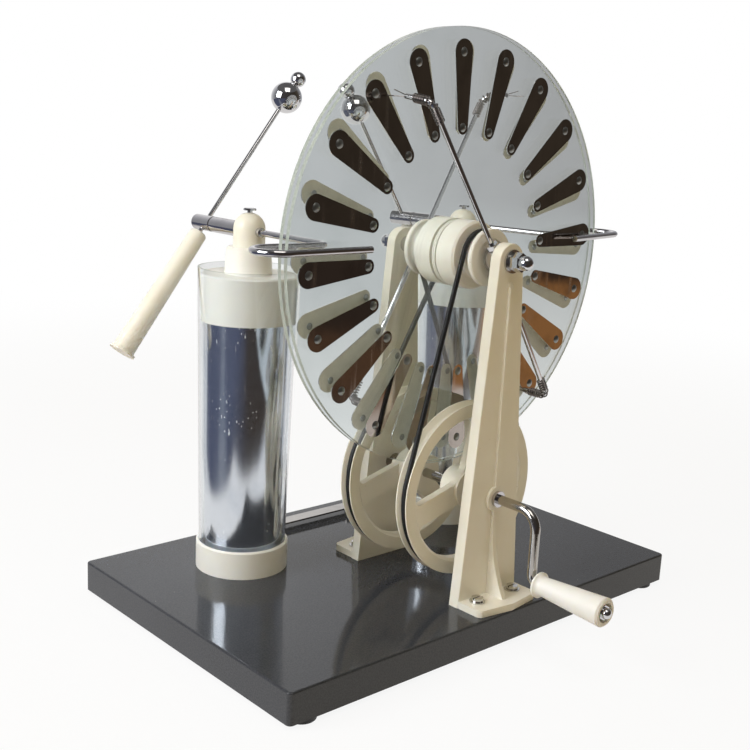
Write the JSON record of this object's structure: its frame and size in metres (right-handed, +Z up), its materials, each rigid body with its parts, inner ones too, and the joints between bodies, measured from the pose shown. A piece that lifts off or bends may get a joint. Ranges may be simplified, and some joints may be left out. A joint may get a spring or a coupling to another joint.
{
  "type": "wimshurst machine",
  "caption": "Hand-cranked electrostatic generator: paired clear discs with metal sectors, belt drive, neutraliser rods, collectors, Leyden jars and discharge balls on a board.",
  "frame": {"origin": "on the floor below the centre of the machine's outer box", "axes": "+Z up, -Y towards the person at the crank, +X to that person's right; the discs turn about Y"},
  "size_m": [0.3382, 0.2952, 0.3662],
  "materials": {
    "painted_board": "smooth dark grey lacquer, glossy",
    "black_rubber": "matt",
    "ivory_plastic": "smooth moulded, slightly glossy",
    "clear_plastic": "clear and polished",
    "bright_aluminium": "bright rolled sheet",
    "rod_brass": "drawn",
    "plain_steel": "plain drawn or turned",
    "bright_chrome": "polished plating"
  },
  "bodies": {
    "stand": {"base": "painted_board", "foot_pads": "black_rubber", "front_upright": "ivory_plastic", "rear_upright": "ivory_plastic", "upright_screws": "plain_steel", "axle": "bright_chrome", "axle_washers": "plain_steel", "axle_nuts": "bright_chrome", "axle_spacers": "plain_steel", "open_belt": "black_rubber", "crossed_belt": "black_rubber", "link_bar": "bright_chrome", "post_screws": "bright_chrome", "left_jar_cup": "ivory_plastic", "left_jar_wall": "clear_plastic", "left_jar_foil": "bright_aluminium", "left_jar_lid": "ivory_plastic", "left_jar_rod": "rod_brass", "left_post": "ivory_plastic", "left_collector": "bright_chrome", "left_swivel_inner": "bright_chrome", "right_jar_cup": "ivory_plastic", "right_jar_wall": "clear_plastic", "right_jar_foil": "bright_aluminium", "right_jar_lid": "ivory_plastic", "right_jar_rod": "rod_brass", "right_post": "ivory_plastic", "right_collector": "bright_chrome", "right_swivel_inner": "bright_chrome"},
    "crank": {"near_wheel": "ivory_plastic", "far_wheel": "ivory_plastic", "crank_shaft": "bright_chrome", "crank_collars": "bright_chrome", "crank_sleeves": "plain_steel", "handle_nut": "bright_chrome"},
    "crank_grip": {"crank_handle": "ivory_plastic"},
    "front_plate": {"front_disc": "clear_plastic", "front_sectors": "bright_aluminium", "front_rivets": "bright_aluminium", "front_hub": "ivory_plastic"},
    "front_neutraliser": {"front_neutral_collar": "bright_chrome", "front_neutral_rods": "bright_chrome", "front_neutral_nuts": "bright_chrome", "front_neutral_springs": "plain_steel"},
    "rear_plate": {"rear_disc": "clear_plastic", "rear_sectors": "bright_aluminium", "rear_rivets": "bright_aluminium", "rear_hub": "ivory_plastic"},
    "rear_neutraliser": {"rear_neutral_collar": "bright_chrome", "rear_neutral_rods": "bright_chrome", "rear_neutral_nuts": "bright_chrome", "rear_neutral_springs": "plain_steel"},
    "left_discharger": {"left_swivel_outer": "bright_chrome", "left_discharge_rod": "bright_chrome", "left_discharge_balls": "bright_chrome", "left_discharge_handle": "ivory_plastic"},
    "right_discharger": {"right_swivel_outer": "bright_chrome", "right_discharge_rod": "bright_chrome", "right_discharge_balls": "bright_chrome", "right_discharge_handle": "ivory_plastic"}
  },
  "joints": [
    {"name": "crank_turn", "type": "hinge", "parent": "stand", "child": "crank", "pos_m": [0.00268, -0.00855, 0.0883], "axis": [0, 1, 0], "continuous": true},
    {"name": "grip_turn", "type": "hinge", "parent": "crank", "child": "crank_grip", "pos_m": [0.00268, -0.11854, 0.0453], "axis": [0, 1, 0], "continuous": true},
    {"name": "front_plate_turn", "type": "hinge", "parent": "stand", "child": "front_plate", "pos_m": [0.00268, -0.00855, 0.2336], "axis": [0, 1, 0], "continuous": true},
    {"name": "rear_plate_turn", "type": "hinge", "parent": "stand", "child": "rear_plate", "pos_m": [0.00268, -0.00855, 0.2336], "axis": [0, 1, 0], "continuous": true},
    {"name": "front_neutraliser_turn", "type": "hinge", "parent": "stand", "child": "front_neutraliser", "pos_m": [0.00268, -0.04335, 0.2336], "axis": [0, 1, 0], "range_deg": [-25, 4]},
    {"name": "rear_neutraliser_turn", "type": "hinge", "parent": "stand", "child": "rear_neutraliser", "pos_m": [0.00268, 0.02626, 0.2336], "axis": [0, 1, 0], "range_deg": [-3, 28]},
    {"name": "left_discharger_swing", "type": "hinge", "parent": "stand", "child": "left_discharger", "pos_m": [-0.08802, 0.12885, 0.2398], "axis": [0, 1, 0], "range_deg": [-82, 6]},
    {"name": "right_discharger_swing", "type": "hinge", "parent": "stand", "child": "right_discharger", "pos_m": [0.08496, 0.12812, 0.2398], "axis": [0.1736, -0.9848, 0], "range_deg": [-82, 6]}
  ],
  "couplings": [
    {"joint": "front_plate_turn", "follows": "crank_turn", "ratio": 3.5},
    {"joint": "rear_plate_turn", "follows": "crank_turn", "ratio": -3.5}
  ]
}
